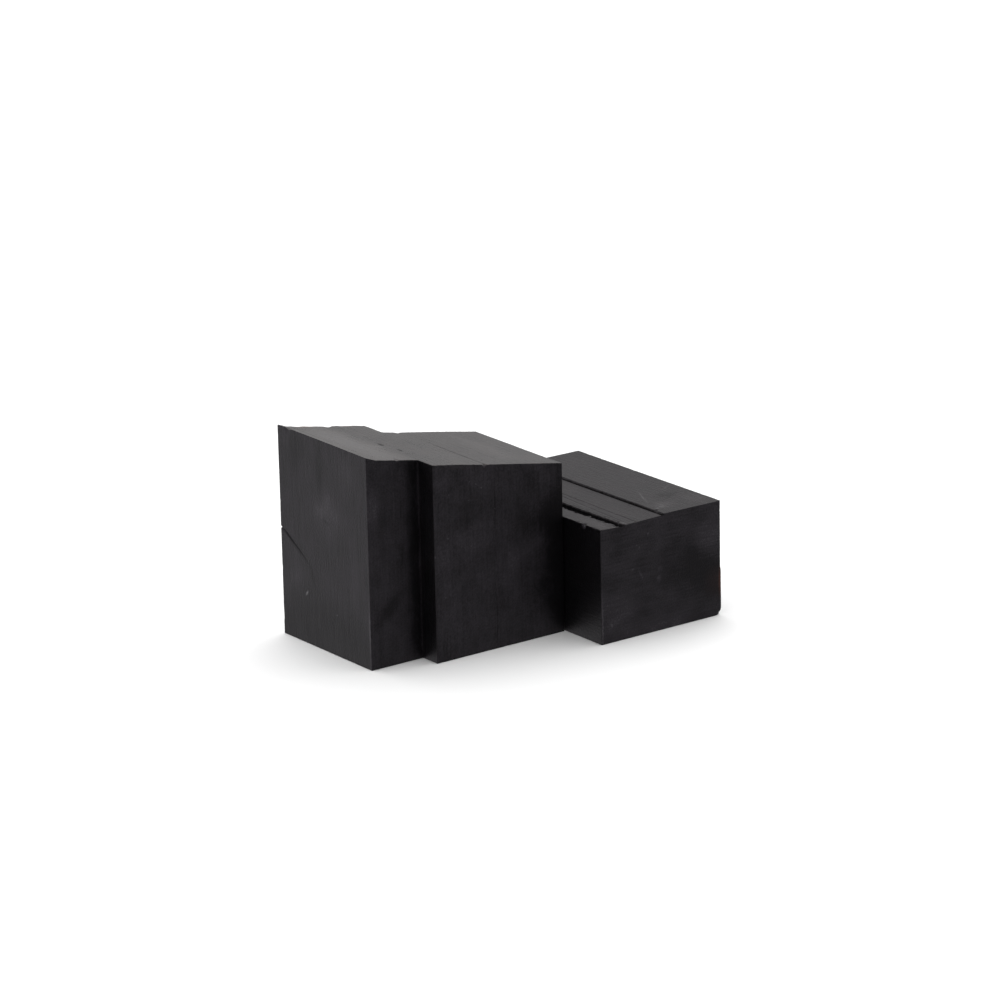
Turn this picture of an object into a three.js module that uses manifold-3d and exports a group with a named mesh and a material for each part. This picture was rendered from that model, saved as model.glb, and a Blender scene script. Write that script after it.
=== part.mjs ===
// Two blocks of black drawing carbon, side by side on a table.
//
// The upright block stands on end. A rebate runs down its front left corner and another down its
// back right corner, and its top is one sloping saw cut. The lying block rests beside it, against
// its right-hand face, with a saw kerf, a scored line and a low step running along its top.
//
// Millimetres, +Z up. +X runs from the upright block to the lying block, +Y from front to back.
// The origin is on the table, under the middle of the box that holds both blocks.

import * as THREE from 'three';
import { mergeVertices } from 'three/addons/utils/BufferGeometryUtils.js';
import Module from 'manifold-3d';

const wasm = await Module();
wasm.setup();

// ---------------------------------------------------------------- driving dimensions

const ARRIS = 0.25; // flat worn along an outer edge
const INNER_ROUND = 0.45; // round left by the cutter in an inner corner
const CLEARANCE = 0.3; // between the faces where the two blocks meet

const UPRIGHT = {
  width: 56.1, // along X
  depth: 45.25, // along Y, over both rebates
  height: 55.0, // of the sawn top's plane above the left end of the front rebate
  frontRebate: { width: 15.8, depth: 6.1 },
  backRebate: { width: 29.4, depth: 8.25 },
  topFall: 0.178, // fall of the sawn top for each millimetre towards the lying block
  topRise: 0.008, // rise of the sawn top for each millimetre towards the back
  lip: { width: 2.9, height: 0.65 }, // ridge that the saw left along the top's left edge
};

const LYING = {
  width: 39.1, // along X
  length: 60.0, // along Y
  lead: 15.15, // how far its front face stands in front of the upright block's
};

// The lying block's top across its width: distance from its left face, then height.
const LEDGE = { start: 0, startHeight: 30.6, end: 5.35, endHeight: 30.3 };
const KERF = { start: 5.6, end: 7.7, floor: 29.35 };
const MIDDLE_STRIP = { start: 7.9, startHeight: 30.4, end: 19.7, endHeight: 30.6 };
const SCORE = { centre: 12.5, width: 0.4, depth: 0.3 };
const STEP_FOOT = { start: 19.85, end: 20.45, floor: 30.1 };
const HIGH_STRIP = { start: 20.65, startHeight: 30.95, endHeight: 30.8 };

const PAIR_WIDTH = UPRIGHT.width + CLEARANCE + LYING.width;
const PAIR_DEPTH = LYING.lead + UPRIGHT.depth;

// ---------------------------------------------------------------- outlines

/**
 * A closed outline through corners of [x, y, softening], counterclockwise. An outer corner is cut
 * off flat by its softening, and an inner corner is filled with a round.
 */
function softenedOutline(corners) {
  const outline = new THREE.Shape();
  const points = corners.map(([x, y]) => new THREE.Vector2(x, y));
  points.forEach((corner, i) => {
    const softening = corners[i][2];
    const arriving = corner.clone().sub(points.at(i - 1));
    const leaving = points[(i + 1) % points.length].clone().sub(corner);
    const inner = arriving.cross(leaving) < 0;
    const start = corner.clone().addScaledVector(arriving.normalize(), -softening);
    const end = corner.clone().addScaledVector(leaving.normalize(), softening);
    if (i === 0) {
      outline.moveTo(start.x, start.y);
    } else {
      outline.lineTo(start.x, start.y);
    }
    if (softening > 0 && inner) {
      outline.quadraticCurveTo(corner.x, corner.y, end.x, end.y);
    } else if (softening > 0) {
      outline.lineTo(end.x, end.y);
    }
  });
  outline.closePath();
  return outline;
}

/** The upright block seen from above, from its left face and its foremost face. */
function uprightPlan() {
  const { width, depth, frontRebate, backRebate } = UPRIGHT;
  const tailWidth = width - backRebate.width;
  const backFace = depth - backRebate.depth;
  return softenedOutline([
    [frontRebate.width, 0, ARRIS],
    [width, 0, ARRIS],
    [width, backFace, ARRIS],
    [tailWidth, backFace, INNER_ROUND],
    [tailWidth, depth, ARRIS],
    [0, depth, ARRIS],
    [0, frontRebate.depth, ARRIS],
    [frontRebate.width, frontRebate.depth, INNER_ROUND],
  ]);
}

/** The lying block seen from the front, from its left face and the table. */
function lyingSection() {
  return softenedOutline([
    [0, 0, ARRIS],
    [LYING.width, 0, ARRIS],
    [LYING.width, HIGH_STRIP.endHeight, ARRIS],
    [HIGH_STRIP.start, HIGH_STRIP.startHeight, 0],
    [STEP_FOOT.end, STEP_FOOT.floor, 0],
    [STEP_FOOT.start, STEP_FOOT.floor, 0],
    [MIDDLE_STRIP.end, MIDDLE_STRIP.endHeight, 0],
    [SCORE.centre + SCORE.width / 2, middleStripHeight(SCORE.centre + SCORE.width / 2), 0],
    [SCORE.centre, middleStripHeight(SCORE.centre) - SCORE.depth, 0],
    [SCORE.centre - SCORE.width / 2, middleStripHeight(SCORE.centre - SCORE.width / 2), 0],
    [MIDDLE_STRIP.start, MIDDLE_STRIP.startHeight, 0],
    [KERF.end, KERF.floor, 0],
    [KERF.start, KERF.floor, 0],
    [LEDGE.end, LEDGE.endHeight, 0],
    [LEDGE.start, LEDGE.startHeight, ARRIS / 2],
  ]);
}

/** Height of the lying block's middle strip at a distance from the block's left face. */
function middleStripHeight(x) {
  const { start, startHeight, end, endHeight } = MIDDLE_STRIP;
  return THREE.MathUtils.mapLinear(x, start, end, startHeight, endHeight);
}

// ---------------------------------------------------------------- solids

/** A manifold-3d solid from a closed three.js geometry. */
function toSolid(geometry) {
  const bare = geometry.clone();
  bare.deleteAttribute('normal');
  bare.deleteAttribute('uv');
  const merged = mergeVertices(bare, 1e-5);
  return new wasm.Manifold(
    new wasm.Mesh({
      numProp: 3,
      vertProperties: new Float32Array(merged.attributes.position.array),
      triVerts: new Uint32Array(merged.index.array),
    })
  );
}

/** A three.js geometry, flat shaded, from a manifold-3d solid. */
function toGeometry(solid) {
  const mesh = solid.getMesh();
  const shared = new THREE.BufferGeometry();
  shared.setAttribute('position', new THREE.BufferAttribute(mesh.vertProperties, 3));
  shared.setIndex(new THREE.BufferAttribute(mesh.triVerts, 1));
  const geometry = shared.toNonIndexed();
  geometry.computeVertexNormals();
  return geometry;
}

/** Everything above a plane that is `height` high at the left end of the front rebate. */
function abovePlane(height, fall) {
  const { width, depth, frontRebate, topRise } = UPRIGHT;
  const size = 2 * (width + depth);
  const normal = new THREE.Vector3(fall, -topRise, 1).normalize();
  const turn = new THREE.Quaternion().setFromUnitVectors(new THREE.Vector3(0, 0, 1), normal);
  const box = new THREE.BoxGeometry(size, size, size);
  box.translate(0, 0, size / 2);
  box.applyQuaternion(turn);
  box.translate(0, frontRebate.depth, height);
  return toSolid(box);
}

/** The upright block's outline, cut off by the sloping top and by the lip's steeper plane. */
function uprightGeometry() {
  const { depth, height, topFall, lip } = UPRIGHT;
  const blank = new THREE.ExtrudeGeometry(uprightPlan(), {
    depth: height + depth,
    bevelEnabled: false,
    curveSegments: 4,
  });
  const aboveTop = abovePlane(height, topFall);
  const aboveLip = abovePlane(height + lip.height, topFall + lip.height / lip.width);
  return toGeometry(toSolid(blank).subtract(aboveTop.intersect(aboveLip)));
}

function lyingGeometry() {
  const geometry = new THREE.ExtrudeGeometry(lyingSection(), {
    depth: LYING.length,
    bevelEnabled: false,
    curveSegments: 4,
  });
  geometry.rotateX(Math.PI / 2);
  geometry.translate(0, LYING.length, 0);
  return geometry;
}

// ---------------------------------------------------------------- the pair

const sawnCarbon = new THREE.MeshStandardMaterial({
  color: 0x1f1e20,
  roughness: 0.45,
  metalness: 0.0,
});
const planedCarbon = new THREE.MeshStandardMaterial({
  color: 0x1b1a1c,
  roughness: 0.42,
  metalness: 0.0,
});

const uprightBlock = new THREE.Mesh(uprightGeometry(), sawnCarbon);
uprightBlock.name = 'upright_block';
uprightBlock.position.set(0, LYING.lead, 0);

const lyingBlock = new THREE.Mesh(lyingGeometry(), planedCarbon);
lyingBlock.name = 'lying_block';
lyingBlock.position.set(UPRIGHT.width + CLEARANCE, 0, 0);

const pair = new THREE.Group();
pair.add(uprightBlock, lyingBlock);
pair.position.set(-PAIR_WIDTH / 2, -PAIR_DEPTH / 2, 0);

export default pair;
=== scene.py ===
"""Two blocks of black drawing carbon on a pale table: an upright one and a lying one.

Each block's CAD solid is replaced by a finely meshed copy of the same shape, with worn arrises,
chipped edges, saw marks, a crack and ragged kerf edges in its geometry. Lengths inside a block are
in millimetres from the block's own left, front and bottom faces, and are moved into the row's frame,
in metres, when its mesh is made.
"""

import itertools
import math
from collections import namedtuple

import bmesh
import bpy
import numpy as np
from mathutils import Matrix, Vector


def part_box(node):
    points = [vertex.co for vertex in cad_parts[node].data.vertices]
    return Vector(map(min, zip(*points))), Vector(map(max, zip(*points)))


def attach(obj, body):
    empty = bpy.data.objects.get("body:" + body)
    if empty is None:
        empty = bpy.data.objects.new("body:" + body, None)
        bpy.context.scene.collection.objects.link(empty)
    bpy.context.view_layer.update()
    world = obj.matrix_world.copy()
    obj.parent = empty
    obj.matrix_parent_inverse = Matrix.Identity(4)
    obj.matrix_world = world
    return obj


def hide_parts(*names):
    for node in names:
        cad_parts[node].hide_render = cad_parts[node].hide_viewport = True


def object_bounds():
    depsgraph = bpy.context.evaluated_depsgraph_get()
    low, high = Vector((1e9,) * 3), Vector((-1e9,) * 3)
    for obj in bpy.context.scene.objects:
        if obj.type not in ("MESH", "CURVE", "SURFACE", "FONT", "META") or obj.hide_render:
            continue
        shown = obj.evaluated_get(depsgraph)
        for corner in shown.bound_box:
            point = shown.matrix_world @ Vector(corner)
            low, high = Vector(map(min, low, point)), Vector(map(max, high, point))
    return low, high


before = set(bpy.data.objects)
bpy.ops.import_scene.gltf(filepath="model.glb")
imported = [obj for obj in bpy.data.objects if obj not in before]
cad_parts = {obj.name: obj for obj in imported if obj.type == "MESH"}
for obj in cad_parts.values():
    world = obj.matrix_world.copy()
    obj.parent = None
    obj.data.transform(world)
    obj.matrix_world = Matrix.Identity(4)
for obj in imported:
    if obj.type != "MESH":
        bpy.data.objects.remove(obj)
cad_low, cad_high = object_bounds()

MM = 0.001

# ---------------------------------------------------------------- driving dimensions, in mm

UPRIGHT = dict(
    width=56.1,
    depth=45.25,
    height=55.0,
    rebate_width=15.8,
    rebate_depth=6.1,
    tail_width=26.7,
    back_face=37.0,
    fall=0.178,
    rise=0.008,
    lip_width=2.9,
    lip_height=0.6,
)
LYING = dict(width=39.1, length=60.0)
# The lying block's top: distance from its left face, then height.
TERRACES = (
    (0.0, 30.6),
    (5.35, 30.3),
    (5.6, 29.35),
    (7.7, 29.35),
    (7.9, 30.4),
    (12.3, 30.47),
    (12.5, 30.33),
    (12.7, 30.47),
    (19.7, 30.6),
    (19.85, 30.1),
    (20.45, 30.1),
    (20.65, 30.95),
    (39.1, 30.8),
)
TERRACE_X, TERRACE_Z = np.array(TERRACES).T
EDGE_OFFSETS = (0.0, 0.07, 0.15, 0.27, 0.45)  # grid lines beside every arris
UPRIGHT_STEPS = (0.3, 0.7, 0.75)  # distance between grid lines along x, y and z
LYING_STEPS = (0.42, 0.45, 0.7)
CORNER_BLEND = 0.5  # near a plan's corner: how far the inward directions of its edges mix
ON_FACE = 0.01  # how far from a face's plane a point still counts as on it
ON_EDGE = 1e-4  # the same for an edge's plane
TINY = 1e-6  # a length or a share that counts as none
TINIEST = 1e-9  # keeps a division by a length of 0 from failing

# ---------------------------------------------------------------- random relief


def relief(points, cell, seed):
    """Smooth random values from -1 to 1 at each point, on a lattice with this cell in mm."""
    table = np.random.default_rng(seed).uniform(-1, 1, (32, 32, 32))
    scaled = np.asarray(points) / np.asarray(cell, float)
    corner_index = np.floor(scaled).astype(int)
    part = scaled - corner_index
    weight = part * part * (3 - 2 * part)
    total = np.zeros(len(scaled))
    for corner in itertools.product((0, 1), repeat=3):
        share = np.prod(np.where(corner, weight, 1 - weight), axis=1)
        total += share * table[tuple(((corner_index + corner) % 32).T)]
    return total


# A layer of relief: its height and its cell in mm, and its seed.
Layer = namedtuple("Layer", "height cell seed")
# Random chips: the same, with a depth, and the level of the relief above which a chip starts.
Chips = namedtuple("Chips", "depth cell seed level")


def layered(points, *layers):
    """Several layers of relief, added up."""
    return sum(layer.height * relief(points, layer.cell, layer.seed) for layer in layers)


def chipped(points, *kinds):
    """Several kinds of random chips, added up: 0 at most points."""
    total = np.zeros(len(points))
    for kind in kinds:
        spots = np.clip(relief(points, kind.cell, kind.seed) - kind.level, 0, 1)
        total += kind.depth * spots
    return total


def on_plan(x, y):
    """Points (x, y, 0), for relief that is the same at every height."""
    return np.column_stack([x, y, np.zeros(len(x))])


def bump(distance, reach):
    """1 at distance 0, falling smoothly to 0 at reach."""
    share = np.clip(1 - np.abs(distance) / reach, 0, 1)
    return share * share * (3 - 2 * share)


def bumps(values, spots):
    """Several bumps, added up: each one's middle, reach and height."""
    return sum(height * bump(values - middle, reach) for middle, reach, height in spots)


def between(values, span):
    return (values > span[0]) & (values < span[1])


# ---------------------------------------------------------------- a closed grid over a plan


def grid_lines(stops, step):
    """Coordinates from the first stop to the last, about step apart and close beside each stop."""
    found = set()
    for low, high in zip(stops, stops[1:]):
        near = [offset for offset in EDGE_OFFSETS if offset < (high - low) / 2]
        found.update(low + offset for offset in near)
        found.update(high - offset for offset in near)
        start, end = low + near[-1], high - near[-1]
        count = max(1, round((end - start) / step))
        found.update(start + (end - start) * k / count for k in range(count + 1))
    return np.array(sorted({round(value, 4) for value in found}))


def prism(x_lines, y_lines, filled, levels):
    """Points (x, y, share of the height) and quads of a closed prism over the filled cells."""
    shape = (len(x_lines), len(y_lines))
    padded = np.pad(filled, 1)
    around = [padded[i : i + shape[0], j : j + shape[1]] for i in (0, 1) for j in (0, 1)]
    used = np.any(around, axis=0)
    rim = used & ~np.all(around, axis=0)
    x_grid, y_grid = np.meshgrid(x_lines, y_lines, indexing="ij")
    points, numbers, count = [], [], 0
    for level in levels:
        here = used if level in (levels[0], levels[-1]) else rim
        number = np.full(shape, -1)
        number[here] = count + np.arange(here.sum())
        count += int(here.sum())
        numbers.append(number)
        points.append(np.column_stack([x_grid[here], y_grid[here], np.full(here.sum(), level)]))
    numbers = np.array(numbers)

    i, j = np.nonzero(filled)
    bottom, top = numbers[0], numbers[-1]
    quads = [
        np.column_stack([bottom[i, j], bottom[i, j + 1], bottom[i + 1, j + 1], bottom[i + 1, j]]),
        np.column_stack([top[i, j], top[i + 1, j], top[i + 1, j + 1], top[i, j + 1]]),
    ]
    # A wall stands wherever a filled cell borders an empty one; it runs from a to b with the
    # filled cell on its left.
    left, right = padded[:-1, 1:-1], padded[1:, 1:-1]
    front, back = padded[1:-1, :-1], padded[1:-1, 1:]
    for wall, step, ahead in (
        (right & ~left, (0, 1), False),
        (left & ~right, (0, 1), True),
        (back & ~front, (1, 0), True),
        (front & ~back, (1, 0), False),
    ):
        i, j = np.nonzero(wall)
        one, other = numbers[:, i, j], numbers[:, i + step[0], j + step[1]]
        a, b = (one, other) if ahead else (other, one)
        quads.append(np.stack([a[:-1], b[:-1], b[1:], a[1:]], axis=-1).reshape(-1, 4))
    return np.concatenate(points), np.concatenate(quads)


def refine(points, quads, near, cuts):
    """Splits the edges of each face whose middle near() says lies beside a small feature."""
    mesh = bmesh.new()
    vertices = [mesh.verts.new(point) for point in points]
    for quad in quads:
        mesh.faces.new([vertices[k] for k in quad])
    mesh.faces.ensure_lookup_table()
    middles = points[quads].mean(axis=1)
    chosen = {mesh.faces[k] for k in np.nonzero(near(middles))[0]}
    edges = list({edge for face in chosen for edge in face.edges})
    bmesh.ops.subdivide_edges(mesh, edges=edges, cuts=cuts, use_grid_fill=True)
    mesh.verts.index_update()
    found = np.array([vertex.co[:] for vertex in mesh.verts])
    faces = [[vertex.index for vertex in face.verts] for face in mesh.faces]
    mesh.free()
    return found, faces


# ---------------------------------------------------------------- worn arrises


def quarter_round(along, radius):
    """Where a point at this distance from a sharp edge lands once the edge is rounded: its new
    distance along the face, and how far it sinks below it."""
    share = np.clip(along / np.maximum(radius, TINY), 0, 1)
    angle = math.pi / 4 * (1 - share)
    inside = along < radius
    new_along = np.where(inside, radius * (1 - np.sin(angle)), along)
    sunk = np.where(inside, radius * (1 - np.cos(angle)), 0)
    return new_along, sunk


def round_upright_arrises(points, outline, radius_at):
    """Rounds the vertical edges over each corner of a counterclockwise outline."""
    corners = np.array(outline, float)
    for k, corner in enumerate(corners):
        back = corners[k - 1] - corner
        ahead = corners[(k + 1) % len(corners)] - corner
        u, v = back / np.linalg.norm(back), ahead / np.linalg.norm(ahead)
        inner = u[0] * v[1] - u[1] * v[0] > 0
        offset = points[:, :2] - corner
        a, b = offset @ u, offset @ v
        radius = radius_at(k, points) * np.ones(len(points))
        ring = np.minimum(a, b)
        if inner:
            chosen = (np.abs(ring) < ON_EDGE) & (np.maximum(a, b) < radius)
        else:
            chosen = (ring > -ON_EDGE) & (np.maximum(a, b) < radius)
        ring = np.maximum(ring, 0)
        along, sunk = quarter_round(np.maximum(a, b) - ring, radius - ring)
        new_a = ring + np.where(a >= b, along, sunk)
        new_b = ring + np.where(a >= b, sunk, along)
        moved = corner + new_a[:, None] * u + new_b[:, None] * v
        points[chosen, :2] = moved[chosen]


def inward(xy, outline):
    """Distance from the outline, and the direction away from its nearest edges."""
    corners = np.array(outline, float)
    ends = np.roll(corners, -1, axis=0)
    distances, normals = [], []
    for start, end in zip(corners, ends):
        along = (end - start) / np.linalg.norm(end - start)
        share = np.clip((xy - start) @ along, 0, np.linalg.norm(end - start))
        nearest = start + share[:, None] * along
        distances.append(np.linalg.norm(xy - nearest, axis=1))
        normals.append((-along[1], along[0]))
    distances = np.array(distances)
    nearest = distances.min(axis=0)
    weight = np.clip(1 - (distances - nearest) / CORNER_BLEND, 0, 1)
    direction = weight.T @ np.array(normals)
    length = np.linalg.norm(direction, axis=1, keepdims=True)
    return nearest, direction / np.maximum(length, TINIEST)


def on_wall(share):
    """True for the points of the walls, between the foot's rim and the top's."""
    return between(share, (TINY, 1 - TINY))


def round_rims(points, share, heights, outline, top_radius, foot_radius):
    """Rounds the edges round the top and the foot. share is 0 on the foot and 1 on the top."""
    distance, direction = inward(points[:, :2], outline)
    for depth, radius, sign, cap in (
        (heights - points[:, 2], top_radius, -1, share > 1 - TINY),
        (points[:, 2].copy(), foot_radius, 1, share < TINY),
    ):
        cap_along, cap_sunk = quarter_round(distance, radius)
        wall_along, wall_sunk = quarter_round(np.maximum(depth, 0), radius)
        wall = ~cap & (depth < radius)
        shift = np.where(cap, cap_along - distance, np.where(wall, wall_sunk, 0))
        shift = np.where(cap & (distance >= radius), 0, shift)
        rise = np.where(cap, cap_sunk, np.where(wall, wall_along - depth, 0))
        points[:, :2] += shift[:, None] * direction
        points[:, 2] += sign * rise


# Wear of a block's vertical edges: their fine round, its swing and their chips, with the seeds
# for outline corner 0. The cells are wider than an edge, so it varies only with the height.
Wear = namedtuple("Wear", "round swing chips")


def worn_radius(place, wear, k):
    """Radius of the worn vertical edge over outline corner k: a fine round with chips."""
    swing = wear.swing._replace(seed=wear.swing.seed + k)
    chips = wear.chips._replace(seed=wear.chips.seed + k)
    return wear.round + layered(place, swing) + chipped(place, chips)


def carve(points, chips):
    """Pushes the surface in around each chip: its middle, its reach and its shift in mm."""
    for middle, reach, shift in chips:
        away = np.linalg.norm((points - middle) / reach, axis=1)
        points += bump(away, 1.0)[:, None] * np.array(shift)


# ---------------------------------------------------------------- materials

# A soft-edged patch on a block: its middle and its reach along its own axes in mm, its turn in
# degrees, and how much lighter (or, below 0, darker) it makes the carbon.
# Some marks are the carbon's own tone, chips and scratches; others are painted shade and painted
# highlights, noted where they stand.
Mark = namedtuple("Mark", "middle reach amount turn", defaults=((0, 0, 0),))
# A patch of another colour: the same, with a linear colour and its strength.
Stain = namedtuple("Stain", "middle reach strength colour")

# Dark and light tone of each kind of face, as linear colours. The rebate's tones and the torn
# floors' tones are darkened with painted shade.
SAWN_TONES = ((0.0040, 0.0035, 0.0036), (0.0560, 0.0500, 0.0490))
PLANED_TONES = ((0.0020, 0.0017, 0.0019), (0.0240, 0.0212, 0.0222))
SIDE_TONES = ((0.0012, 0.0010, 0.0014), (0.0200, 0.0172, 0.0212))
# Painted shade: the rebate's side is the same carbon as the other sides, made darker for the shade
# in the inner corner.
REBATE_PAINTED_SHADE_TONES = ((0.0010, 0.0008, 0.0011), (0.0042, 0.0036, 0.0046))
# Torn floors: partly the torn carbon's own dull tone, partly painted shade in the kerf and the
# step's foot groove.
TORN_PAINTED_SHADE_TONES = ((0.0006, 0.0005, 0.0006), (0.0040, 0.0036, 0.0040))
CHALKY = (0.125, 0.125, 0.128, 1)
SHEEN = (0.97, 0.91, 1.0, 1)  # tint of the reflections

# Lowest and highest roughness of each kind of face.
SAWN_FINISH = (0.27, 0.37)
PLANED_FINISH = (0.38, 0.48)
SIDE_FINISH = (0.38, 0.50)
FOOT_FINISH = (0.50, 0.60)
TORN_FINISH = (0.80, 0.95)

NOISE_RANGE = (0.3, 0.7)  # the values that Blender's noise mostly takes
PATCH_CORE = 0.1  # share of a patch's reach that has its full strength

# What the carbon's shade is made of: cells in mm and shares.
MOTTLE_CELL = (6.0, 6.0, 6.0)
GRAIN_CELL = (0.45, 0.45, 0.45)
MOTTLE_SHARE = 0.31
STREAK_SHARE = 0.26
GRAIN_SHARE = 0.43
USUAL_SHADES = (0.2, 0.8)  # the range that the three together fill
CHALK_SHADE = 3.0  # shade of the chalky tone, where the light tone is 1
FLECK_CELL = 2.1
FLECK_RADIUS = 0.17
FLECK_CROWD = 0.07  # share of the cells that hold a fleck
FLECK_AMOUNT = 0.9
GRAIN_WEIGHT = 1.4  # of the grains in the fine relief, beside the streaks
SIDE_GRAIN = 0.028  # depth of the fine relief in mm
TOP_GRAIN = 0.036


class Nodes:
    """A small helper that makes and links the nodes of one material."""

    def __init__(self, name, origin):
        self.material = bpy.data.materials.new(name)
        self.material.use_nodes = True
        self.tree = self.material.node_tree
        self.shader = self.tree.nodes["Principled BSDF"]
        self.place = self.add("ShaderNodeTexCoord").outputs["Object"]
        self.origin = origin

    def plug(self, source, socket):
        """Links a socket, or sets a plain value."""
        if isinstance(source, bpy.types.NodeSocket):
            self.tree.links.new(source, socket)
        else:
            socket.default_value = source

    def add(self, kind, links=(), **values):
        node = self.tree.nodes.new(kind)
        for key, value in values.items():
            setattr(node, key, value)
        for socket, source in dict(links).items():
            self.plug(source, node.inputs[socket])
        return node

    def spread(self, source, low, high, to_low, to_high, blend="LINEAR"):
        """Maps low..high of a value to to_low..to_high, held at both ends."""
        links = {
            "Value": source,
            "From Min": low,
            "From Max": high,
            "To Min": to_low,
            "To Max": to_high,
        }
        return self.add("ShaderNodeMapRange", links, interpolation_type=blend).outputs["Result"]

    def math(self, operation, one, other):
        return self.add("ShaderNodeMath", {0: one, 1: other}, operation=operation).outputs[0]

    def noise(self, cell, detail=3.0):
        """Noise with a cell of this size in mm along each axis, spread over 0 to 1."""
        scale = tuple(1 / (side * MM) for side in cell)
        mapping = self.add("ShaderNodeMapping", {"Vector": self.place, "Scale": scale})
        links = {"Vector": mapping.outputs["Vector"], "Scale": 1.0, "Detail": detail}
        values = self.add("ShaderNodeTexNoise", links).outputs["Fac"]
        return self.spread(values, *NOISE_RANGE, 0, 1)

    def patch(self, middle, reach, turn=(0, 0, 0)):
        """1 in the middle of a patch, falling smoothly to 0 at its reach."""
        links = {
            "Vector": self.place,
            "Location": tuple(self.origin[k] + middle[k] * MM for k in range(3)),
            "Rotation": tuple(math.radians(angle) for angle in turn),
            "Scale": tuple(side * MM for side in reach),
        }
        mapping = self.add("ShaderNodeMapping", links, vector_type="TEXTURE")
        away = self.add("ShaderNodeVectorMath", {0: mapping.outputs["Vector"]}, operation="LENGTH")
        return self.spread(away.outputs["Value"], PATCH_CORE, 1.0, 1.0, 0.0, "SMOOTHSTEP")

    def specks(self, cell, radius, crowd):
        """A mask of small scattered flecks: 1 on a fleck."""
        scale = (1 / (cell * MM),) * 3
        mapping = self.add("ShaderNodeMapping", {"Vector": self.place, "Scale": scale})
        links = {"Vector": mapping.outputs["Vector"], "Scale": 1.0}
        cells = self.add("ShaderNodeTexVoronoi", links)
        share = radius / cell
        near = self.spread(cells.outputs["Distance"], share * 0.5, share, 1.0, 0.0)
        apart = self.add("ShaderNodeSeparateColor", {"Color": cells.outputs["Color"]})
        rare = self.math("GREATER_THAN", apart.outputs[0], 1 - crowd)
        return self.math("MULTIPLY", near, rare)

    def blend(self, share, one, other):
        node = self.add("ShaderNodeMix", data_type="RGBA")
        for source, socket in zip((share, one, other), (0, 6, 7)):
            self.plug(source, node.inputs[socket])
        return node.outputs[2]


def carbon(name, origin, tones, streak, finish, marks=(), stains=(), grain=SIDE_GRAIN):
    """Satin carbon: mottled, streaked along the long sides of the streak cell, with dust flecks.

    Its shade is 0 at the dark tone, 1 at the light tone and CHALK_SHADE where it is chalky."""
    nodes = Nodes(name, origin)
    mottle = nodes.noise(MOTTLE_CELL, 4.0)
    streaks = nodes.noise(streak, 2.0)
    grains = nodes.noise(GRAIN_CELL, 2.0)
    blend = nodes.math("MULTIPLY", mottle, MOTTLE_SHARE)
    blend = nodes.math("ADD", blend, nodes.math("MULTIPLY", streaks, STREAK_SHARE))
    blend = nodes.math("ADD", blend, nodes.math("MULTIPLY", grains, GRAIN_SHARE))
    shade = nodes.spread(blend, *USUAL_SHADES, 0.0, 1.0)
    # The marks add the carbon's own tone, chips and scratches, and in places painted shade and
    # painted highlights.
    for mark in marks:
        patch = nodes.patch(mark.middle, mark.reach, mark.turn)
        shade = nodes.math("ADD", shade, nodes.math("MULTIPLY", patch, mark.amount))
    flecks = nodes.specks(FLECK_CELL, FLECK_RADIUS, FLECK_CROWD)
    shade = nodes.math("ADD", shade, nodes.math("MULTIPLY", flecks, FLECK_AMOUNT))

    ramp = nodes.add("ShaderNodeValToRGB", {"Fac": nodes.math("DIVIDE", shade, CHALK_SHADE)})
    stops = ramp.color_ramp.elements
    stops[0].color = (*tones[0], 1)
    stops[1].color = CHALKY
    stops.new(1 / CHALK_SHADE).color = (*tones[1], 1)
    colour = ramp.outputs["Color"]
    for stain in stains:
        share = nodes.math("MULTIPLY", nodes.patch(stain.middle, stain.reach), stain.strength)
        colour = nodes.blend(share, colour, (*stain.colour, 1))
    nodes.plug(colour, nodes.shader.inputs["Base Color"])
    nodes.plug(nodes.spread(blend, *USUAL_SHADES, *finish), nodes.shader.inputs["Roughness"])

    height = nodes.math("ADD", streaks, nodes.math("MULTIPLY", grains, GRAIN_WEIGHT))
    links = {"Height": height, "Strength": 1.0, "Distance": grain * MM}
    nodes.plug(nodes.add("ShaderNodeBump", links).outputs["Normal"], nodes.shader.inputs["Normal"])
    nodes.shader.inputs["Specular Tint"].default_value = SHEEN
    return nodes.material


# ---------------------------------------------------------------- a block as a Blender piece


def make_piece(name, points, faces, slots, materials, origin):
    """A smooth-shaded piece from local millimetres, moved to its corner in the row's frame."""
    mesh = bpy.data.meshes.new(name)
    mesh.from_pydata((points * MM + origin).tolist(), [], faces)
    for material in materials:
        mesh.materials.append(material)
    mesh.polygons.foreach_set("material_index", slots)
    mesh.polygons.foreach_set("use_smooth", np.ones(len(faces), bool))
    mesh.update()
    mesh.validate()
    piece = bpy.data.objects.new(name, mesh)
    bpy.context.collection.objects.link(piece)
    return piece


# INNER faces (the rebate's side and the lying block's left face) and TORN floors carry painted shade
# in their colour.
TOP, SIDE, END, FOOT, INNER, TORN = range(6)  # the material slots of a block


def face_slots(flat_points, faces, inner):
    """The slot of each face: TOP or FOOT where it is level, END where it faces front or back, and
    SIDE where it faces left or right, or INNER if inner(x, y) is true of its middle."""
    slots = np.empty(len(faces), np.int32)
    for k, face in enumerate(faces):
        corners = flat_points[face]
        spans = np.ptp(corners, axis=0)
        if spans[2] < TINY:
            slots[k] = TOP if corners[0, 2] > 0.5 else FOOT
        elif spans[0] < TINY:
            slots[k] = INNER if inner(*corners.mean(axis=0)[:2]) else SIDE
        else:
            slots[k] = END
    return slots


# ---------------------------------------------------------------- the upright block


def upright_outline():
    u = UPRIGHT
    return [
        (u["rebate_width"], 0),
        (u["width"], 0),
        (u["width"], u["back_face"]),
        (u["tail_width"], u["back_face"]),
        (u["tail_width"], u["depth"]),
        (0, u["depth"]),
        (0, u["rebate_depth"]),
        (u["rebate_width"], u["rebate_depth"]),
    ]


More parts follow.
